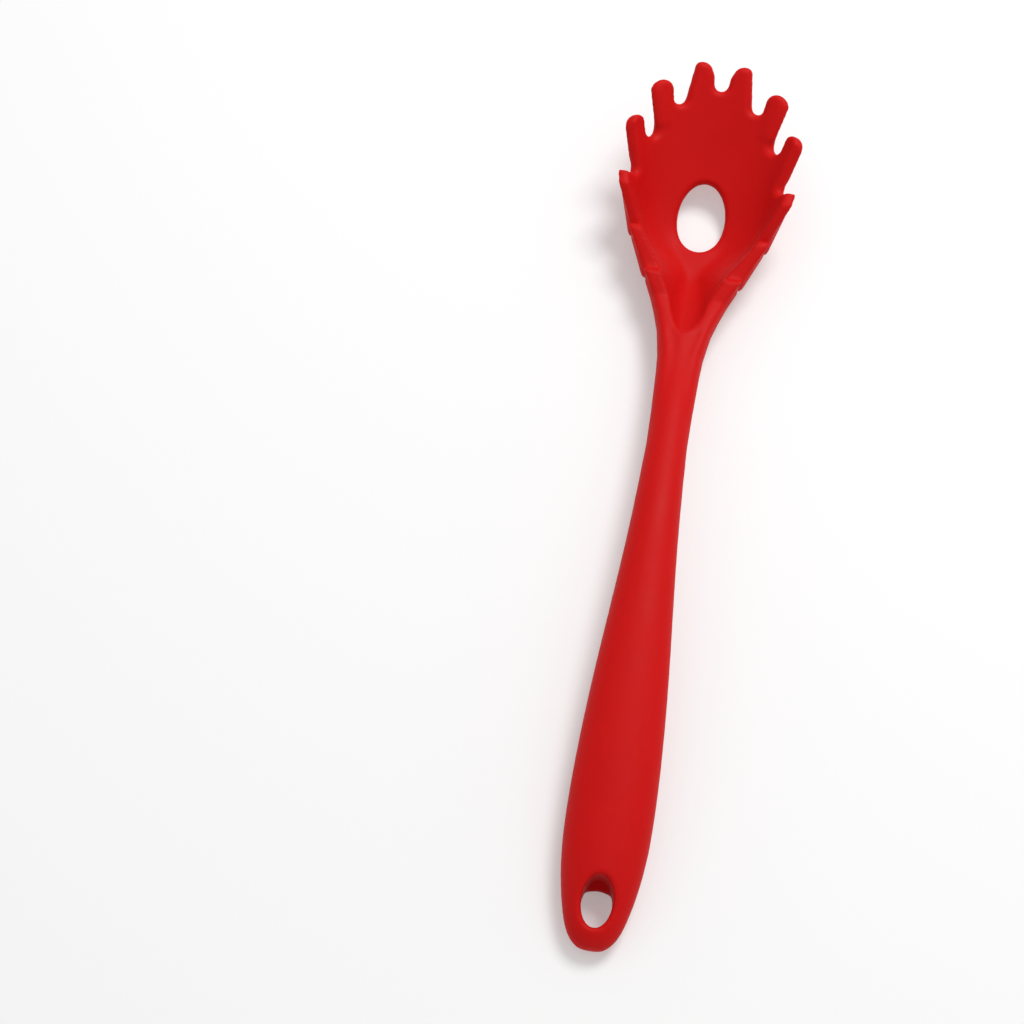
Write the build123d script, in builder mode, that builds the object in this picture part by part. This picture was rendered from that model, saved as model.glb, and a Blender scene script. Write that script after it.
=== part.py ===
from build123d import *
from math import cos, pi, sin
import os

os.makedirs("parts", exist_ok=True)

# Pasta server moulded in one piece of silicone over a stiff nylon core.
# It lies on a table: Z is up, the handle end points to -Y and the tines to +Y,
# and the origin is on the table under the middle of the object's length.

# Driving sizes in millimetres
overall_length = 285.0
head_length = 98.7          # from the neck's end of the bowl to the tips of the front tines
head_width = 57.6           # over the widest pair of tines
head_height = 30.4          # from the table to the top of the front tines
handle_width = 25.4         # at the widest place of the grip
handle_thickness = 16.1     # at the same place
handle_rise = 15.1          # height of the handle's middle line at its highest place
floor_thickness = 3.5       # silicone and core together, at the bottom of the bowl
drain_width = 15.4
drain_length = 21.6
drain_back_share = 0.448    # place of the drain hole, back from the tips
hang_width = 9.0
hang_length = 14.2
hang_place_share = 0.90     # place of the hanging hole, from the handle's end
hole_edge = 1.2             # rounding of the edges of both holes
core_skin = 1.1             # least silicone over the core in the bowl
core_hole = 4.0             # keying holes through the core's spine
overrun = 2.0               # how far a cutting tool runs past what it cuts

tip_y = overall_length / 2
end_y = -overall_length / 2
handle_length = overall_length - head_length
half_head = head_width / 2

# Handle: stations from the end towards the head. Each row holds the place along the
# handle's length, the width, the thickness and the height of the middle line, as
# shares of handle_length, handle_width, handle_thickness and handle_rise.
handle_share_rows = [
    (0.000, 0.220, 0.200, 0.300),
    (0.016, 0.520, 0.500, 0.345),
    (0.055, 0.750, 0.760, 0.425),
    (0.131, 0.950, 0.950, 0.530),
    (0.240, 1.000, 1.000, 0.670),
    (0.428, 0.870, 0.910, 0.870),
    (0.646, 0.622, 0.760, 1.000),
    (0.829, 0.497, 0.650, 0.960),
    (0.956, 0.490, 0.590, 0.840),
    (1.032, 0.600, 0.550, 0.730),
    (1.093, 0.760, 0.470, 0.600),
    (1.144, 0.840, 0.370, 0.430),
]

# Bowl: level outlines from the table upwards. Each row holds the height as a share of
# head_height, the half width as a share of half_head, and the places of the rear end,
# the widest point and the front end as shares of head_length back from the tips.
outer_share_rows = [
    (0.000, 0.230, 0.626, 0.560, 0.493),
    (0.050, 0.430, 0.713, 0.545, 0.448),
    (0.167, 0.620, 0.805, 0.519, 0.376),
    (0.365, 0.780, 0.886, 0.478, 0.264),
    (0.563, 0.880, 0.948, 0.442, 0.157),
    (0.762, 0.982, 0.978, 0.417, 0.055),
    (1.011, 1.085, 0.998, 0.397, -0.068),
    (1.206, 1.165, 1.014, 0.381, -0.164),
]
inner_share_rows = [
    (0.000, 0.190, 0.631, 0.560, 0.498),
    (0.040, 0.370, 0.703, 0.545, 0.458),
    (0.148, 0.540, 0.779, 0.524, 0.393),
    (0.315, 0.680, 0.888, 0.488, 0.300),
    (0.464, 0.760, 0.948, 0.458, 0.220),
    (0.649, 0.860, 0.968, 0.427, 0.126),
    (0.937, 0.978, 0.978, 0.397, -0.012),
    (1.206, 1.088, 0.988, 0.369, -0.141),
]
rear_power = 1.5            # the rear half of an outline is narrow, towards the neck
front_power = 2.35          # the front half is a little squarer than an ellipse
outer_waist_share = 0.15    # how far the flanks draw in between the widest point and
inner_waist_share = 0.51    # the rear end, which makes the wall thicker at the neck
outline_steps = 10


def outline_point(angle, half_width, rear, widest, front, waist_share):
    """One point of a level outline, at an angle turned from its rear end."""
    rearward = cos(angle) > 0
    power = rear_power if rearward else front_power
    reach = widest - (rear if rearward else front)
    side = 1 if sin(angle) > 0 else -1
    across = side * half_width * abs(sin(angle)) ** (2 / power)
    if rearward:
        across *= 1 - waist_share * sin(2 * angle) ** 2 * cos(angle)
    return across, widest - reach * abs(cos(angle)) ** (2 / power)


def outline_sizes(share_row, inset=0):
    """Half width, rear end, widest point and front end of the outline of one row."""
    level, half_share, rear_share, widest_share, front_share = share_row
    return (
        half_head * half_share - inset,
        tip_y - head_length * rear_share + inset,
        tip_y - head_length * widest_share,
        tip_y - head_length * front_share - inset,
    )


def stack_of_eggs(share_rows, waist_share, base, inset=0):
    """A bowl-shaped solid lofted through level outlines, all drawn in by the inset."""
    with BuildPart() as stack:
        for share_row in share_rows:
            sizes = outline_sizes(share_row, inset)
            points = [
                outline_point(pi * step / outline_steps, *sizes, waist_share)
                for step in range(2 * outline_steps)
            ]
            with BuildSketch(Plane.XY.offset(base + head_height * share_row[0])):
                with BuildLine():
                    Spline(*points, periodic=True)
                make_face()
        loft()
    return stack.part


def row_at(share_rows, level):
    """The row of shares at any level, worked out from the two rows round it."""
    for low, high in zip(share_rows, share_rows[1:]):
        if level <= high[0]:
            break
    blend = (level - low[0]) / (high[0] - low[0])
    return [start + blend * (end - start) for start, end in zip(low, high)]


def wall_point(turn_share, up_share):
    """The middle of the bowl's wall, at a share of a half turn from the neck."""
    height = head_height * up_share
    inner_level = (height - floor_thickness) / head_height
    outer_sizes = outline_sizes(row_at(outer_share_rows, up_share))
    inner_sizes = outline_sizes(row_at(inner_share_rows, inner_level))
    outer = outline_point(pi * turn_share, *outer_sizes, outer_waist_share)
    inner = outline_point(pi * turn_share, *inner_sizes, inner_waist_share)
    return (Vector(*outer, height) + Vector(*inner, height)) * 0.5


outer_bowl = stack_of_eggs(outer_share_rows, outer_waist_share, 0)
hollow = stack_of_eggs(inner_share_rows, inner_waist_share, floor_thickness)


def handle_loft(share_rows, slimming):
    """A handle-shaped solid lofted through upright ellipses, as slim as asked."""
    with BuildPart() as bar:
        for place, width, thickness, height in share_rows:
            with BuildSketch(Plane.XZ.offset(-(end_y + handle_length * place))):
                with Locations((0, handle_rise * height)):
                    Ellipse(
                        slimming * handle_width * width / 2,
                        slimming * handle_thickness * thickness / 2,
                    )
        loft()
    return bar.part


handle = handle_loft(handle_share_rows, 1)

# Side view of the rim: places back from the tips as shares of head_length and heights
# as shares of head_height, from the neck forward over the two low teeth and the
# fourth tine to the notch behind the third tine, and on above all the front tines.
rim_share_points = [
    (1.268, 0.835),
    (0.928, 0.519),
    (0.798, 0.473),
    (0.728, 0.547),
    (0.710, 0.473),
    (0.690, 0.482),
    (0.598, 0.612),
    (0.580, 0.612),
    (0.565, 0.482),
    (0.545, 0.538),
    (0.466, 0.770),
    (0.420, 0.784),
    (0.404, 0.615),
    (0.384, 0.600),
    (0.350, 0.730),
    (0.298, 1.000),
    (-0.232, 1.000),
]
rim_points = [(tip_y - head_length * back, head_height * up) for back, up in rim_share_points]
above_bowl = head_height * outer_share_rows[-1][0] + overrun

with BuildPart() as rim_cutter:
    with BuildSketch(Plane.YZ):
        with BuildLine():
            Polyline(
                *rim_points,
                (rim_points[-1][0], above_bowl),
                (rim_points[0][0], above_bowl),
                close=True,
            )
        make_face()
    extrude(amount=head_width, both=True)

# Front tines and the notches between them, on the right side, from the middle outwards.
# Their places are on the middle of the wall: a share of the half turn round the bowl
# from the neck, and a share of head_height.
tine_width = 7.0
tine_edge = 0.9             # slope along the tines' edges, inside and outside the wall
notch_floor_radius = 2.3
notch_mouth_radius = 4.2
tip_share_rows = [
    (0.940, 0.953),
    (0.790, 0.919),
    (0.641, 0.882),
    (0.463, 0.770),
]
notch_share_rows = [
    (1.000, 0.791),
    (0.857, 0.731),
    (0.702, 0.642),
    (0.538, 0.608),
]
round_tips = 3              # the fourth tine ends flat
tip_clear_share = 2.3       # width cleared beyond a tip, as a share of tine_width
tips = [wall_point(*row) for row in tip_share_rows]
notches = [wall_point(*row) for row in notch_share_rows]
mirrored_tip = Vector(-tips[0].X, tips[0].Y, tips[0].Z)
straight_depth = floor_thickness / 2 - tine_edge
full_slope = (tine_width - tine_edge) / 2
slope_levels = [
    (-straight_depth - full_slope, full_slope),
    (-straight_depth, 0),
    (straight_depth, 0),
    (straight_depth + full_slope, full_slope),
]
tool_depth = 3 * floor_thickness
slot_levels = [(-tool_depth, full_slope), *slope_levels, (tool_depth, full_slope)]

# Round end of one tine: a short cylinder with sloping ends, lying across the wall
with BuildPart() as tine_end:
    for depth, slope in slope_levels:
        with BuildSketch(Plane.XY.offset(depth)):
            Circle(tine_width / 2 - slope)
    loft(ruled=True)


def end_tool(tip, root, side_step):
    """What clears the space beyond one round tine end, square to the wall."""
    along = (tip - root).normalized()
    out = along.cross(side_step).normalized()
    wall = Plane(tip - along * (tine_width / 2), x_dir=along, z_dir=out)
    tine = wall.location * tine_end.part
    with BuildPart() as tool:
        with BuildSketch(wall):
            Rectangle(
                head_height / 2,
                tine_width * tip_clear_share,
                align=(Align.MIN, Align.CENTER),
            )
        extrude(amount=tool_depth, both=True)
        add(tine, mode=Mode.SUBTRACT)
    return tool.part


def notch_tool(bottom, before, after):
    """A slot square to the wall, round at its bottom and wider at its mouth."""
    up_wall = (before + after) * 0.5 - bottom
    out = up_wall.cross(after - before).normalized()
    wall = Plane(bottom, x_dir=up_wall, z_dir=out)
    with BuildPart() as tool:
        for depth, slope in slot_levels:
            with BuildSketch(wall.offset(depth)):
                with Locations((notch_floor_radius, 0)):
                    Circle(notch_floor_radius + slope)
                with Locations((head_height / 2, 0)):
                    Circle(notch_mouth_radius + slope)
                make_hull()
        loft(ruled=True)
    return tool.part


right_tools = []
for index, tip in enumerate(tips[:round_tips]):
    root = (notches[index] + notches[index + 1]) * 0.5
    right_tools.append(end_tool(tip, root, notches[index + 1] - notches[index]))
for index, bottom in enumerate(notches[1:]):
    right_tools.append(notch_tool(bottom, tips[index], tips[index + 1]))
left_tools = [mirror(tool, about=Plane.YZ) for tool in right_tools]
tine_tools = [notch_tool(notches[0], mirrored_tip, tips[0])] + right_tools + left_tools

drain_y = tip_y - head_length * drain_back_share
hang_y = end_y + hang_length * hang_place_share

# Stiff core: a spine in the handle that opens into a shallow cup inside the bowl's wall
core_slim_share = 0.46
core_cup_top_share = 0.408
core_first_row = 4          # the spine starts at this station of the handle
core_hole_place_shares = [0.30, 0.38, 0.46, 0.54]
skin_slope_share = 0.6      # how far the sloping walls draw in for the skin over them
skin_inset = core_skin * skin_slope_share
core_shell = stack_of_eggs(outer_share_rows, outer_waist_share, core_skin, skin_inset)
core_hollow = stack_of_eggs(
    inner_share_rows, inner_waist_share, floor_thickness - core_skin, -skin_inset
)

with BuildPart() as nylon_core:
    add(core_shell)
    with BuildSketch(Plane.XY.offset(head_height * core_cup_top_share)):
        with Locations((0, tip_y - head_length / 2)):
            Rectangle(2 * head_width, 2 * head_length)
    extrude(amount=2 * head_height, mode=Mode.SUBTRACT)
    add(handle_loft(handle_share_rows[core_first_row:], core_slim_share))
    add(core_hollow, mode=Mode.SUBTRACT)
    with BuildSketch():
        with Locations((0, drain_y)):
            Ellipse(drain_width / 2 + core_skin, drain_length / 2 + core_skin)
        for place in core_hole_place_shares:
            with Locations((0, end_y + handle_length * place)):
                Circle(core_hole / 2)
    extrude(amount=head_height, both=True, mode=Mode.SUBTRACT)

with BuildPart() as silicone_body:
    add(handle)
    with BuildSketch():
        with Locations((0, hang_y)):
            Ellipse(hang_width / 2, hang_length / 2)
    extrude(amount=head_height, both=True, mode=Mode.SUBTRACT)
    hang_rims = silicone_body.edges(Select.LAST).filter_by(lambda edge: edge.is_closed)
    fillet(hang_rims, hole_edge)
    add(outer_bowl)
    add(hollow, mode=Mode.SUBTRACT)
    add(rim_cutter.part, mode=Mode.SUBTRACT)
    for tool in tine_tools:
        add(tool, mode=Mode.SUBTRACT)
    with BuildSketch():
        with Locations((0, drain_y)):
            Ellipse(drain_width / 2, drain_length / 2)
    extrude(amount=head_height, both=True, mode=Mode.SUBTRACT)
    # The rims of the drain hole and the borders of the flats that it cuts through
    drain_edges = silicone_body.edges(Select.LAST).filter_by(Axis.Z, reverse=True)
    fillet(drain_edges, hole_edge)
    add(nylon_core.part, mode=Mode.SUBTRACT)

silicone_body.part.label = "silicone_body"
export_step(silicone_body.part, "parts/silicone_body.step")
nylon_core.part.label = "nylon_core"
export_step(nylon_core.part, "parts/nylon_core.step")
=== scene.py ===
from math import cos, pi, sin

import bmesh
import bpy
from mathutils import Matrix, Vector


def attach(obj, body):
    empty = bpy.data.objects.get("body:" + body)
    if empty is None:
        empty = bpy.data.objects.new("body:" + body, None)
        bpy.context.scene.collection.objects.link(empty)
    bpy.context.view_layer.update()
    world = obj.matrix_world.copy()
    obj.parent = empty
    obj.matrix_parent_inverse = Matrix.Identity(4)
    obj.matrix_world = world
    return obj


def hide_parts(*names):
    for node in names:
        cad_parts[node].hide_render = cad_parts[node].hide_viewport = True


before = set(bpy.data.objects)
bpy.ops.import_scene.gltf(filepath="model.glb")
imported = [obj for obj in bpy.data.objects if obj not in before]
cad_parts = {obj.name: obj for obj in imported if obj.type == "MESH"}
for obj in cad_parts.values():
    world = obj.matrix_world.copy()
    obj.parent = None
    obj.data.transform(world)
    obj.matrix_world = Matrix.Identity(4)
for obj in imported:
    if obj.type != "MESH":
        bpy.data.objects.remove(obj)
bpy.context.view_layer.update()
mm = 0.001

# Camera
# It looks down on the server from beyond the handle's end, from the photograph's place,
# and its aim beside the server sets it to the right of the picture as it is there.
camera_place = Vector((-0.4, -273.7, 626.5)) * mm
camera_aim = Vector((-44.0, -11.4, 0.0)) * mm
focal_pixels = 2205
picture_pixels = 1024
sensor_mm = 36

camera_data = bpy.data.cameras.new("camera")
camera_data.sensor_width = sensor_mm
camera_data.lens = focal_pixels * sensor_mm / picture_pixels
camera = bpy.data.objects.new("camera", camera_data)
camera.matrix_world = (
    Matrix.Translation(camera_place)
    @ (camera_aim - camera_place).to_track_quat("-Z", "Y").to_matrix().to_4x4()
)
bpy.context.scene.collection.objects.link(camera)
bpy.context.scene.camera = camera

# Silicone moulding
# One soft piece is the bowl, its tines, the neck and the handle, moulded from red
# silicone over the stiff core. The CAD solid's outside is made fuller where the
# photograph's is, then meshed evenly and eased at its edges, as a mould leaves them.
join_within = 0.001 * mm
wall_half = 1.75 * mm
tine_half = 3.5 * mm
notch_two = Vector((12.80, 129.27, 22.22)) * mm
notch_three = Vector((20.53, 117.28, 19.52)) * mm
notch_four = Vector((24.03, 103.04, 18.48)) * mm
# The pads that broaden the second and the third tine. Each is given by the tine's tip,
# the notches before and after it, how far the pad's tip is moved towards the notch after
# it, how far its root and its tip stand out of the bowl, and its half width at the tip.
tine_pads = [
    {
        "tip": Vector((18.71, 134.01, 27.94)) * mm,
        "before": notch_two,
        "after": notch_three,
        "tip_aside": 0.4 * mm,
        "root_out": 0,
        "tip_out": 0,
        "tip_half": 4.1 * mm,
    },
    {
        "tip": Vector((25.62, 120.09, 26.81)) * mm,
        "before": notch_three,
        "after": notch_four,
        "tip_aside": 0.3 * mm,
        "root_out": 1.5 * mm,
        "tip_out": 0.9 * mm,
        "tip_half": 4.0 * mm,
    },
]
# Places and half sizes, in millimetres, of upright egg shapes. A skin is stretched from
# each to the next in its list. They fill out the neck's side up to the sixth tooth, the
# fifth and the fourth tooth, the neck's top at its middle and beside it, and the lip low
# in the hanging hole.
neck_side_eggs = [
    ((2.2, 8.0, 14.6), (4.1, 4.1, 3.6)),
    ((2.1, 24.0, 13.5), (4.35, 4.4, 4.4)),
    ((3.3, 37.0, 12.5), (3.55, 3.6, 4.5)),
    ((3.8, 43.0, 12.0), (3.4, 3.4, 4.5)),
    ((4.95, 48.0, 11.8), (2.95, 2.95, 4.25)),
    ((6.1, 53.0, 11.6), (2.6, 2.6, 4.0)),
    ((8.0, 58.8, 11.2), (2.35, 2.35, 3.65)),
    ((10.1, 64.5, 10.9), (2.2, 2.2, 3.4)),
    ((12.8, 69.6, 12.5), (2.0, 2.0, 3.4)),
]
fifth_tooth_eggs = [
    ((14.6, 73.2, 11.0), (2.0, 2.0, 3.4)),
    ((19.4, 83.4, 14.5), (2.0, 2.0, 3.5)),
]
fourth_tooth_eggs = [
    ((20.9, 87.2, 11.3), (1.9, 1.9, 3.4)),
    ((25.1, 98.6, 18.4), (1.8, 1.8, 4.0)),
]
neck_top_eggs = [
    ((0, 25.0, 13.3), (5.6, 3.0, 4.8)),
    ((0, 49.0, 12.0), (5.0, 3.0, 4.2)),
]
neck_top_side_eggs = [
    ((2.8, 38.0, 12.4), (3.4, 3.0, 4.3)),
    ((2.9, 50.2, 11.7), (2.6, 2.4, 4.1)),
]
hole_lip_eggs = [
    ((0, -122.3, 2.8), (2.2, 2.6, 2.5)),
    ((3.8, -124.0, 2.8), (1.5, 1.6, 2.5)),
]
fill_lists = [
    neck_side_eggs,
    fifth_tooth_eggs,
    fourth_tooth_eggs,
    neck_top_eggs,
    neck_top_side_eggs,
    hole_lip_eggs,
]
egg_turns = 24
egg_rings = 12
skin_voxel = 0.54 * mm
skin_rounding_passes = 7
silicone_red = (0.58, 0.003, 0.003, 1)
silicone_deep_red = (0.51, 0.002, 0.002, 1)
silicone_specular = 0.12
silicone_sheen = 0.01
silicone_sheen_roughness = 0.5
silicone_roughness = (0.5, 0.62)
light_let_in = 0.1
light_reach = 1.5 * mm
light_reach_by_colour = (1.0, 0.2, 0.2)
tint_cloud_scale = 45
tint_cloud_detail = 3
tint_cloud_range = (0.3, 0.7)
grain_scale = 2600
grain_detail = 2
grain_strength = 0.12
grain_height = 0.05 * mm


def add_hull(shell, eggs, across):
    """Adds a closed skin stretched round egg shapes, each a centre and three half axes.

    Across is 1 for the right side of the server and -1 for its mirror image.
    """
    mirror = Vector((across, 1, 1))
    corners = []
    for centre, first, second, third in eggs:
        for ring in range(1, egg_rings):
            lean = pi * ring / egg_rings
            for turn in range(egg_turns):
                angle = 2 * pi * turn / egg_turns
                flat = (first * cos(angle) + second * sin(angle)) * sin(lean)
                corners.append(shell.verts.new((centre + flat + third * cos(lean)) * mirror))
    hull = bmesh.ops.convex_hull(shell, input=corners)
    inside = [item for item in hull["geom_interior"] if isinstance(item, bmesh.types.BMVert)]
    bmesh.ops.delete(shell, geom=inside, context="VERTS")


def tine_eggs(tip, before, after, tip_aside, root_out, tip_out, tip_half):
    """The egg shapes at the root and the tip of one tine, lying along the wall."""
    root = (before + after) / 2
    along = (tip - root).normalized()
    out = along.cross(after - before).normalized()
    side = out.cross(along)
    tip_centre = tip - along * tine_half + side * tip_aside + out * tip_out
    return [
        (root + out * root_out, along * tine_half, side * tine_half, out * wall_half),
        (tip_centre, along * tine_half, side * tip_half, out * wall_half),
    ]


def upright_egg(centre, halves):
    """An egg shape that stands upright, from places and half sizes in millimetres."""
    axes = [Vector(axis) * half * mm for axis, half in zip(Matrix.Identity(3), halves)]
    return (Vector(centre) * mm, *axes)


def outer_shell(node):
    """A mesh of the node's outside with the pads and fills, without the core's hollow.

    The outside is the island of faces that reaches furthest along the server.
    """
    shell = bmesh.new()
    shell.from_mesh(node.data)
    bmesh.ops.remove_doubles(shell, verts=shell.verts, dist=join_within)
    islands = []
    unseen = set(shell.verts)
    while unseen:
        island = [unseen.pop()]
        for vertex in island:
            for edge in vertex.link_edges:
                other = edge.other_vert(vertex)
                if other in unseen:
                    unseen.discard(other)
                    island.append(other)
        islands.append(island)
    islands.sort(key=lambda island: max(v.co.y for v in island) - min(v.co.y for v in island))
    for island in islands[:-1]:
        bmesh.ops.delete(shell, geom=island, context="VERTS")
    for across in (-1, 1):
        for pad in tine_pads:
            add_hull(shell, tine_eggs(**pad), across)
        for eggs in fill_lists:
            for egg, next_egg in zip(eggs, eggs[1:]):
                add_hull(shell, [upright_egg(*egg), upright_egg(*next_egg)], across)
    bmesh.ops.recalc_face_normals(shell, faces=shell.faces)
    mesh = bpy.data.meshes.new("server_skin")
    shell.to_mesh(mesh)
    shell.free()
    return mesh


def easing_tree():
    """Evenly meshed skin in, skin out with eased edges, of the same size as before.

    Blurring the places rounds the edges and shrinks the skin. Twice the blurred places
    less those blurred again puts the lost size back and keeps the round edges.
    """
    tree = bpy.data.node_groups.new("ease_edges", "GeometryNodeTree")
    face = tree.interface
    face.new_socket("Skin", in_out="INPUT", socket_type="NodeSocketGeometry")
    face.new_socket("Passes", in_out="INPUT", socket_type="NodeSocketInt")
    face.new_socket("Silicone", in_out="INPUT", socket_type="NodeSocketMaterial")
    face.new_socket("Skin", in_out="OUTPUT", socket_type="NodeSocketGeometry")
    node = tree.nodes.new
    entry = node("NodeGroupInput")
    place = node("GeometryNodeInputPosition")
    blur = node("GeometryNodeBlurAttribute")
    blur.data_type = "FLOAT_VECTOR"
    blur_again = node("GeometryNodeBlurAttribute")
    blur_again.data_type = "FLOAT_VECTOR"
    twice = node("ShaderNodeVectorMath")
    twice.operation = "SCALE"
    twice.inputs["Scale"].default_value = 2
    size_back = node("ShaderNodeVectorMath")
    size_back.operation = "SUBTRACT"
    move = node("GeometryNodeSetPosition")
    smooth = node("GeometryNodeSetShadeSmooth")
    realize = node("GeometryNodeRealizeInstances")
    coat = node("GeometryNodeSetMaterial")
    leave = node("NodeGroupOutput")
    link = tree.links.new
    link(place.outputs["Position"], blur.inputs["Value"])
    link(entry.outputs["Passes"], blur.inputs["Iterations"])
    link(blur.outputs["Value"], blur_again.inputs["Value"])
    link(entry.outputs["Passes"], blur_again.inputs["Iterations"])
    link(blur.outputs["Value"], twice.inputs[0])
    link(twice.outputs["Vector"], size_back.inputs[0])
    link(blur_again.outputs["Value"], size_back.inputs[1])
    link(entry.outputs["Skin"], move.inputs["Geometry"])
    link(size_back.outputs["Vector"], move.inputs["Position"])
    link(move.outputs["Geometry"], smooth.inputs["Geometry"])
    link(smooth.outputs["Geometry"], realize.inputs["Geometry"])
    link(realize.outputs["Geometry"], coat.inputs["Geometry"])
    link(entry.outputs["Silicone"], coat.inputs["Material"])
    link(coat.outputs["Geometry"], leave.inputs["Skin"])
    return tree


def silicone_material():
    """Matt red silicone: soft grain, slightly uneven red, a little light let in."""
    material = bpy.data.materials.new("red_silicone")
    material.use_nodes = True
    nodes = material.node_tree.nodes
    link = material.node_tree.links.new
    shader = nodes["Principled BSDF"]
    shader.inputs["Subsurface Weight"].default_value = light_let_in
    shader.inputs["Subsurface Radius"].default_value = light_reach_by_colour
    shader.inputs["Subsurface Scale"].default_value = light_reach
    shader.inputs["Specular IOR Level"].default_value = silicone_specular
    shader.inputs["Sheen Weight"].default_value = silicone_sheen
    shader.inputs["Sheen Roughness"].default_value = silicone_sheen_roughness
    places = nodes.new("ShaderNodeTexCoord")
    clouds = nodes.new("ShaderNodeTexNoise")
    clouds.inputs["Scale"].default_value = tint_cloud_scale
    clouds.inputs["Detail"].default_value = tint_cloud_detail
    tint = nodes.new("ShaderNodeMix")
    tint.data_type = "RGBA"
    tint.inputs["A"].default_value = silicone_deep_red
    tint.inputs["B"].default_value = silicone_red
    haze = nodes.new("ShaderNodeMapRange")
    haze.inputs["From Min"].default_value = tint_cloud_range[0]
    haze.inputs["From Max"].default_value = tint_cloud_range[1]
    haze.inputs["To Min"].default_value = silicone_roughness[0]
    haze.inputs["To Max"].default_value = silicone_roughness[1]
    grain = nodes.new("ShaderNodeTexNoise")
    grain.inputs["Scale"].default_value = grain_scale
    grain.inputs["Detail"].default_value = grain_detail
    bump = nodes.new("ShaderNodeBump")
    bump.inputs["Strength"].default_value = grain_strength
    bump.inputs["Distance"].default_value = grain_height
    link(places.outputs["Object"], clouds.inputs["Vector"])
    link(places.outputs["Object"], grain.inputs["Vector"])
    link(clouds.outputs["Fac"], tint.inputs["Factor"])
    link(tint.outputs["Result"], shader.inputs["Base Color"])
    link(clouds.outputs["Fac"], haze.inputs["Value"])
    link(haze.outputs["Result"], shader.inputs["Roughness"])
    link(grain.outputs["Fac"], bump.inputs["Height"])
    link(bump.outputs["Normal"], shader.inputs["Normal"])
    return material


raw_skin = bpy.data.objects.new("raw_skin", outer_shell(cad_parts["silicone_body"]))
bpy.context.scene.collection.objects.link(raw_skin)
remesh = raw_skin.modifiers.new("even_faces", "REMESH")
remesh.mode = "VOXEL"
remesh.voxel_size = skin_voxel
ease = raw_skin.modifiers.new("ease_edges", "NODES")
ease.node_group = easing_tree()
sockets = ease.node_group.interface.items_tree
ease[sockets["Passes"].identifier] = skin_rounding_passes
ease[sockets["Silicone"].identifier] = silicone_material()
eased = raw_skin.evaluated_get(bpy.context.evaluated_depsgraph_get())
skin_mesh = bpy.data.meshes.new_from_object(eased)
bpy.data.objects.remove(raw_skin)
server_skin = bpy.data.objects.new("server_skin", skin_mesh)
bpy.context.scene.collection.objects.link(server_skin)
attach(server_skin, "root")
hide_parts("silicone_body")

# Stiff core
# A spine and a shallow cup of glass-filled nylon lie inside the silicone and can't be
# seen. The solid from the frame is kept, in dark moulded plastic with fine flecks.
core_black = (0.022, 0.022, 0.024, 1)
core_fleck = (0.06, 0.06, 0.06, 1)
core_fleck_scale = 1800
core_specular = 0.4
core_roughness = (0.5, 0.7)


def core_material():
    """Dark nylon with short pale flecks of glass in it."""
    material = bpy.data.materials.new("glass_filled_nylon")
    material.use_nodes = True
    nodes = material.node_tree.nodes
    link = material.node_tree.links.new
    shader = nodes["Principled BSDF"]
    shader.inputs["Specular IOR Level"].default_value = core_specular
    places = nodes.new("ShaderNodeTexCoord")
    flecks = nodes.new("ShaderNodeTexNoise")
    flecks.inputs["Scale"].default_value = core_fleck_scale
    tint = nodes.new("ShaderNodeMix")
    tint.data_type = "RGBA"
    tint.inputs["A"].default_value = core_black
    tint.inputs["B"].default_value = core_fleck
    dull = nodes.new("ShaderNodeMapRange")
    dull.inputs["To Min"].default_value = core_roughness[0]
    dull.inputs["To Max"].default_value = core_roughness[1]
    link(places.outputs["Object"], flecks.inputs["Vector"])
    link(flecks.outputs["Fac"], tint.inputs["Factor"])
    link(flecks.outputs["Fac"], dull.inputs["Value"])
    link(tint.outputs["Result"], shader.inputs["Base Color"])
    link(dull.outputs["Result"], shader.inputs["Roughness"])
    return material


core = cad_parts["nylon_core"]
core.data.materials.clear()
core.data.materials.append(core_material())

# Table
# A plain pale surface under the server. The camera sees it mostly lit by the lamp and
# partly as even white, so it shows white and keeps a soft shadow.
table_half = 3.0
table_white = (0.9, 0.9, 0.9, 1)
table_glow_share = 0.25

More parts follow.
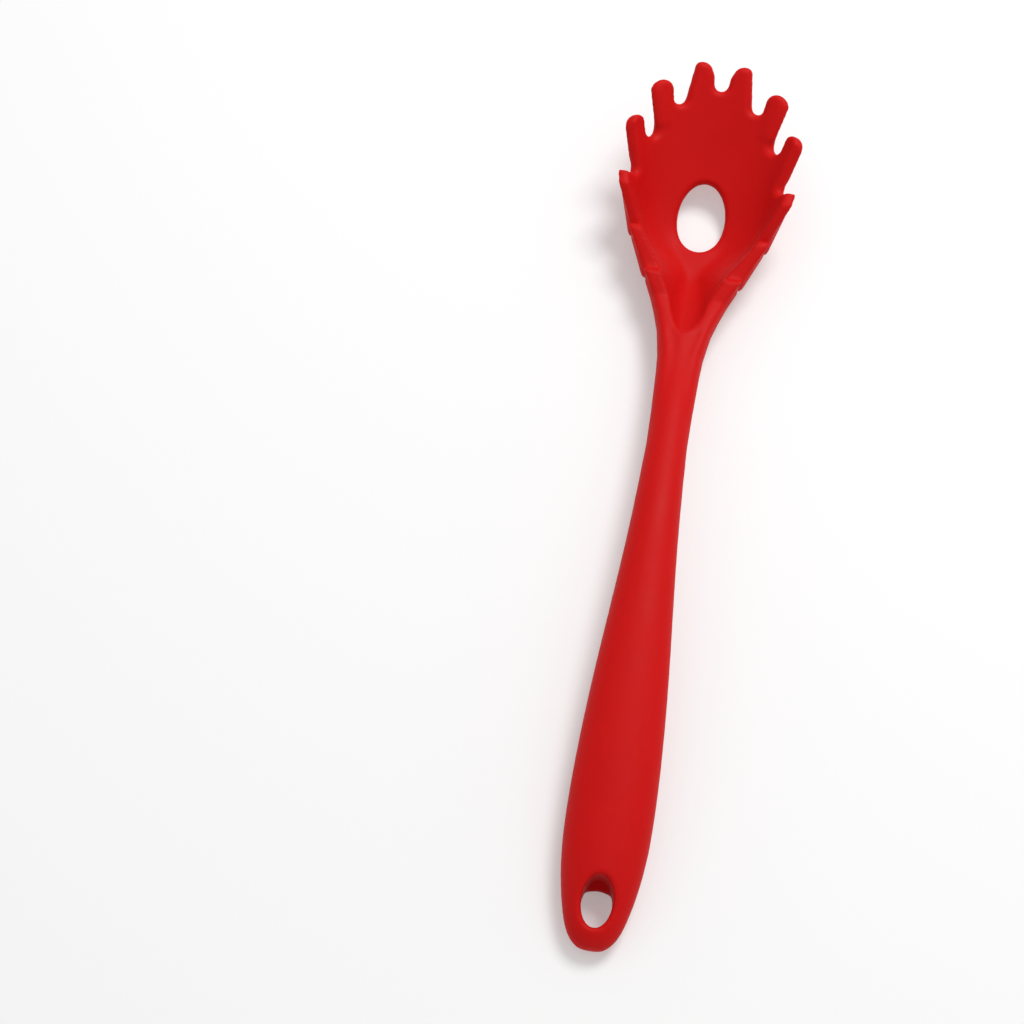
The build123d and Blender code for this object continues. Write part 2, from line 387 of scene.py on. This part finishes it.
table_mesh = bpy.data.meshes.new("table")
table_mesh.from_pydata(
    [
        (-table_half, -table_half, 0),
        (table_half, -table_half, 0),
        (table_half, table_half, 0),
        (-table_half, table_half, 0),
    ],
    [],
    [(0, 1, 2, 3)],
)
table = bpy.data.objects.new("table", table_mesh)
bpy.context.scene.collection.objects.link(table)
table_material = bpy.data.materials.new("table_white")
table_material.use_nodes = True
table_nodes = table_material.node_tree.nodes
table_link = table_material.node_tree.links.new
table_nodes.clear()
seen = table_nodes.new("ShaderNodeLightPath")
seen_or_glossy = table_nodes.new("ShaderNodeMath")
seen_or_glossy.operation = "MAXIMUM"
seen_any = table_nodes.new("ShaderNodeMath")
seen_any.operation = "MAXIMUM"
share = table_nodes.new("ShaderNodeMath")
share.operation = "MULTIPLY"
share.inputs[1].default_value = table_glow_share
diffuse = table_nodes.new("ShaderNodeBsdfDiffuse")
diffuse.inputs["Color"].default_value = table_white
glow = table_nodes.new("ShaderNodeEmission")
glow.inputs["Strength"].default_value = 1
blend = table_nodes.new("ShaderNodeMixShader")
surface = table_nodes.new("ShaderNodeOutputMaterial")
table_link(seen.outputs["Is Camera Ray"], seen_or_glossy.inputs[0])
table_link(seen.outputs["Is Glossy Ray"], seen_or_glossy.inputs[1])
table_link(seen_or_glossy.outputs["Value"], seen_any.inputs[0])
table_link(seen.outputs["Is Transmission Ray"], seen_any.inputs[1])
table_link(seen_any.outputs["Value"], share.inputs[0])
table_link(share.outputs["Value"], blend.inputs["Fac"])
table_link(diffuse.outputs["BSDF"], blend.inputs[1])
table_link(glow.outputs["Emission"], blend.inputs[2])
table_link(blend.outputs["Shader"], surface.inputs["Surface"])
table_mesh.materials.append(table_material)

# Light
# A broad soft lamp over the right side of the head, and even light from all round.
even_light = 0.6
lamp_size = 0.45
lamp_watts = 8.6
lamp_place = Vector((0.27, 0.56, 1.0))

world = bpy.data.worlds.new("even_light")
world.use_nodes = True
world.node_tree.nodes["Background"].inputs["Color"].default_value = (1, 1, 1, 1)
world.node_tree.nodes["Background"].inputs["Strength"].default_value = even_light
bpy.context.scene.world = world

lamp_data = bpy.data.lights.new("soft_lamp", "AREA")
lamp_data.size = lamp_size
lamp_data.energy = lamp_watts
lamp = bpy.data.objects.new("soft_lamp", lamp_data)
lamp.matrix_world = (
    Matrix.Translation(lamp_place)
    @ (-lamp_place).to_track_quat("-Z", "Y").to_matrix().to_4x4()
)
bpy.context.scene.collection.objects.link(lamp)

bpy.context.scene.view_settings.view_transform = "Standard"
